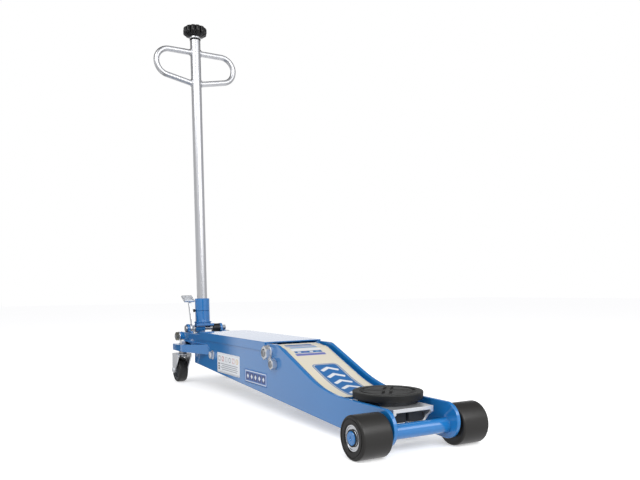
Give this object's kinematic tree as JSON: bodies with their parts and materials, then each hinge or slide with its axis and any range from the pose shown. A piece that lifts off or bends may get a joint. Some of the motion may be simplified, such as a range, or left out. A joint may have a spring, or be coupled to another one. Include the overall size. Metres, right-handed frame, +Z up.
{
  "type": "trolley jack",
  "caption": "Low long-chassis hydraulic trolley jack with level lifting saddle, upright handle with twin grip loops, foot pedal, front rollers and rear casters.",
  "frame": {"origin": "on the floor, under the middle of the box round the whole jack", "axes": "+X towards the saddle and the front rollers, +Y to the left of someone standing at the handle, +Z up"},
  "size_m": [1.2693, 0.285, 1.1835],
  "materials": {
    "body_blue": "gloss",
    "arm_cream": "gloss",
    "zinc": "zinc plated",
    "steel": "machined",
    "ram_chrome": "polished",
    "cylinder_steel": "ground",
    "dark_steel": "blackened",
    "pump_iron": "painted",
    "roller_black": "satin",
    "hub_grey": "satin",
    "tyre_black": "matte",
    "pad_rubber": "matte",
    "knob_black": "satin",
    "label_white": "smooth"
  },
  "bodies": {
    "chassis": {"side_plate_right": "body_blue", "side_plate_left": "body_blue", "front_axle": "body_blue", "cross_tube": "body_blue", "rear_deck": "body_blue", "handle_bracket": "body_blue", "bracket_bolts": "steel", "bracket_washers": "zinc", "bracket_nuts": "dark_steel", "outrigger_right": "body_blue", "outrigger_left": "body_blue", "kingpins": "steel", "kingpin_nuts": "zinc", "top_cover": "body_blue", "pump_body": "pump_iron", "pump_bolts": "zinc", "lift_cylinder": "cylinder_steel", "arm_shaft": "steel", "arm_washers": "zinc", "arm_nuts": "zinc", "link_studs": "steel", "link_nuts": "zinc", "handle_shaft": "dark_steel", "shaft_spacer": "dark_steel", "labels": "label_white", "axle_circlips": "dark_steel"},
    "front_roller_right": {"roller_right": "roller_black", "roller_bearings_right": "steel"},
    "front_roller_left": {"roller_left": "roller_black", "roller_bearings_left": "steel"},
    "caster_right": {"caster_fork_right": "zinc", "caster_axle_right": "zinc"},
    "caster_left": {"caster_fork_left": "zinc", "caster_axle_left": "zinc"},
    "rear_wheel_right": {"caster_wheel_right": "hub_grey", "caster_tyre_right": "tyre_black"},
    "rear_wheel_left": {"caster_wheel_left": "hub_grey", "caster_tyre_left": "tyre_black"},
    "lift_arm": {"arm_cheeks": "body_blue", "arm_top": "arm_cream", "arm_hub": "body_blue", "arm_tie_tube": "body_blue", "arm_tip_pin": "steel", "tip_spacers": "dark_steel", "drive_pin": "steel"},
    "saddle_carrier": {"saddle_bracket": "zinc", "link_pins": "steel"},
    "saddle": {"saddle_cup": "dark_steel", "saddle_pad": "pad_rubber", "saddle_circlip": "dark_steel"},
    "links": {"levelling_links": "body_blue"},
    "ram_rod": {"ram": "ram_chrome"},
    "handle": {"handle_foot": "body_blue", "handle_tube": "zinc", "grip_right": "zinc", "grip_left": "zinc"},
    "knob": {"release_knob": "knob_black"},
    "foot_pedal": {"pedal": "zinc"},
    "main_plunger": {"pump_plunger": "steel"},
    "quick_plunger": {"pedal_plunger": "steel"}
  },
  "joints": [
    {"name": "front_roller_right_spin", "type": "hinge", "parent": "chassis", "child": "front_roller_right", "pos_m": [0.59474, -0.11, 0.04], "axis": [0, 1, 0], "continuous": true},
    {"name": "front_roller_left_spin", "type": "hinge", "parent": "chassis", "child": "front_roller_left", "pos_m": [0.59474, 0.11, 0.04], "axis": [0, 1, 0], "continuous": true},
    {"name": "caster_right_swivel", "type": "hinge", "parent": "chassis", "child": "caster_right", "pos_m": [-0.51126, -0.089, 0.101], "axis": [0, 0, 1], "continuous": true},
    {"name": "caster_left_swivel", "type": "hinge", "parent": "chassis", "child": "caster_left", "pos_m": [-0.51126, 0.089, 0.101], "axis": [0, 0, 1], "continuous": true},
    {"name": "caster_right_spin", "type": "hinge", "parent": "caster_right", "child": "rear_wheel_right", "pos_m": [-0.54326, -0.089, 0.04], "axis": [0, 1, 0], "continuous": true},
    {"name": "caster_left_spin", "type": "hinge", "parent": "caster_left", "child": "rear_wheel_left", "pos_m": [-0.54326, 0.089, 0.04], "axis": [0, 1, 0], "continuous": true},
    {"name": "arm_lift", "type": "hinge", "parent": "chassis", "child": "lift_arm", "pos_m": [0.12174, 0, 0.147], "axis": [0, -1, 0], "range_deg": [0, 66]},
    {"name": "saddle_level", "type": "hinge", "parent": "lift_arm", "child": "saddle_carrier", "pos_m": [0.50874, 0, 0.056], "axis": [0, -1, 0], "range_deg": [-67, 1]},
    {"name": "link_swing", "type": "hinge", "parent": "chassis", "child": "links", "pos_m": [0.15274, 0, 0.122], "axis": [0, -1, 0], "range_deg": [-1, 67]},
    {"name": "saddle_turn", "type": "hinge", "parent": "saddle_carrier", "child": "saddle", "pos_m": [0.50424, 0, 0.078], "axis": [0, 0, 1], "continuous": true},
    {"name": "ram_push", "type": "slide", "parent": "chassis", "child": "ram_rod", "axis": [1, 0, 0], "range_m": [-0.001, 0.07289]},
    {"name": "handle_pump", "type": "hinge", "parent": "chassis", "child": "handle", "pos_m": [-0.56926, 0, 0.171], "axis": [0, 1, 0], "range_deg": [-55, 0]},
    {"name": "pump_stroke", "type": "slide", "parent": "chassis", "child": "main_plunger", "axis": [1, 0, 0], "range_m": [-0.001, 0.03008]},
    {"name": "knob_turn", "type": "hinge", "parent": "handle", "child": "knob", "pos_m": [-0.59444, 0, 1.13267], "axis": [-0.0262, 0, 0.9997], "range_deg": [0, 180]},
    {"name": "pedal_press", "type": "hinge", "parent": "chassis", "child": "foot_pedal", "pos_m": [-0.56926, -0.039, 0.171], "axis": [0, 1, 0], "range_deg": [-30, 0], "stiffness_Nm_per_rad": 8, "springref_deg": 11.46},
    {"name": "quick_stroke", "type": "slide", "parent": "chassis", "child": "quick_plunger", "axis": [1, 0, 0], "range_m": [-0.001, 0.019]}
  ],
  "couplings": [
    {"joint": "saddle_level", "follows": "arm_lift", "ratio": -1},
    {"joint": "link_swing", "follows": "arm_lift", "ratio": 1},
    {"joint": "ram_push", "follows": "arm_lift", "m_per_rad": 0.062411},
    {"joint": "pump_stroke", "follows": "handle_pump", "m_per_rad": -0.030291},
    {"joint": "quick_stroke", "follows": "pedal_press", "m_per_rad": -0.034377}
  ]
}
